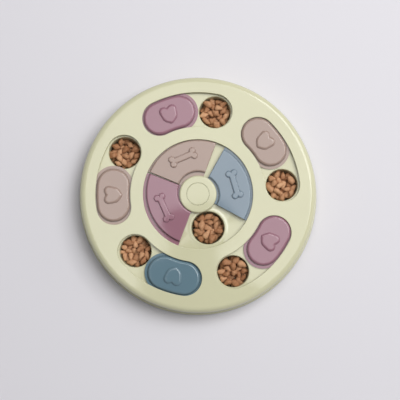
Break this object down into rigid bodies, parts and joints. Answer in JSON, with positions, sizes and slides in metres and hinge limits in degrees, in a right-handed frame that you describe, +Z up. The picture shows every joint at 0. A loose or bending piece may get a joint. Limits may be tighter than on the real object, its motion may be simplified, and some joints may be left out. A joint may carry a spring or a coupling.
{
  "type": "dog puzzle feeder toy",
  "caption": "Round dog puzzle feeder: a slotted cover over food cups, kidney-shaped heart sliders in arc slots, and bone-marked sectors turning round a central hub.",
  "frame": {"origin": "centre of the footprint, on the surface that the feet stand on", "axes": "+Z up along the hub's axis; +X to the right and +Y to the back of the stored view"},
  "size_m": [0.25, 0.25, 0.0363],
  "materials": {
    "shell_plastic": "satin moulded polypropylene, cream green",
    "beige_plastic": "satin moulded polypropylene, mauve beige",
    "pink_plastic": "satin moulded polypropylene, dusty pink",
    "blue_plastic": "satin moulded polypropylene, grey blue",
    "screw_steel": "zinc-plated",
    "foot_rubber": "matt"
  },
  "bodies": {
    "base": {"base_ring": "shell_plastic", "deck_1": "shell_plastic", "deck_2": "shell_plastic", "deck_3": "shell_plastic", "deck_4": "shell_plastic", "deck_5": "shell_plastic", "centre_dish": "shell_plastic", "top_cover": "shell_plastic", "cup_open_1": "shell_plastic", "cup_open_2": "shell_plastic", "cup_open_3": "shell_plastic", "cup_open_4": "shell_plastic", "cup_open_5": "shell_plastic", "cup_covered_1": "shell_plastic", "cup_covered_2": "shell_plastic", "cup_covered_3": "shell_plastic", "cup_covered_4": "shell_plastic", "cup_covered_5": "shell_plastic", "centre_cup_front": "shell_plastic", "centre_cup_right": "shell_plastic", "centre_cup_back": "shell_plastic", "centre_cup_left": "shell_plastic", "hub_cap": "shell_plastic", "hub_screw": "screw_steel", "screw_outer_1": "screw_steel", "screw_outer_2": "screw_steel", "screw_outer_3": "screw_steel", "screw_outer_4": "screw_steel", "screw_outer_5": "screw_steel", "screw_inner_1": "screw_steel", "screw_inner_2": "screw_steel", "screw_inner_3": "screw_steel", "screw_inner_4": "screw_steel", "screw_inner_5": "screw_steel", "foot_1": "foot_rubber", "foot_2": "foot_rubber", "foot_3": "foot_rubber", "foot_4": "foot_rubber", "foot_5": "foot_rubber"},
    "slider_1": {"slider_1": "beige_plastic"},
    "slider_2": {"slider_2": "pink_plastic"},
    "slider_3": {"slider_3": "beige_plastic"},
    "slider_4": {"slider_4": "blue_plastic"},
    "slider_5": {"slider_5": "pink_plastic"},
    "sector_a": {"sector_a": "blue_plastic"},
    "sector_b": {"sector_b": "beige_plastic"},
    "sector_c": {"sector_c": "pink_plastic"}
  },
  "joints": [
    {"name": "slider_1_slide", "type": "hinge", "parent": "base", "child": "slider_1", "pos_m": [0, 0, 0.032], "axis": [0, 0, 1], "range_deg": [-25.7, 0.2]},
    {"name": "slider_2_slide", "type": "hinge", "parent": "base", "child": "slider_2", "pos_m": [0, 0, 0.032], "axis": [0, 0, 1], "range_deg": [-25.1, 0.8]},
    {"name": "slider_3_slide", "type": "hinge", "parent": "base", "child": "slider_3", "pos_m": [0, 0, 0.032], "axis": [0, 0, 1], "range_deg": [-23.9, 2]},
    {"name": "slider_4_slide", "type": "hinge", "parent": "base", "child": "slider_4", "pos_m": [0, 0, 0.032], "axis": [0, 0, 1], "range_deg": [-24.7, 1.2]},
    {"name": "slider_5_slide", "type": "hinge", "parent": "base", "child": "slider_5", "pos_m": [0, 0, 0.032], "axis": [0, 0, 1], "range_deg": [-25.9, 0]},
    {"name": "sector_a_turn", "type": "hinge", "parent": "base", "child": "sector_a", "pos_m": [0, 0, 0.032], "axis": [0, 0, 1], "continuous": true},
    {"name": "sector_b_turn", "type": "hinge", "parent": "sector_a", "child": "sector_b", "pos_m": [0, 0, 0.032], "axis": [0, 0, 1], "range_deg": [-9.5, 40]},
    {"name": "sector_c_turn", "type": "hinge", "parent": "sector_b", "child": "sector_c", "pos_m": [0, 0, 0.032], "axis": [0, 0, 1], "range_deg": [0, 40]}
  ]
}
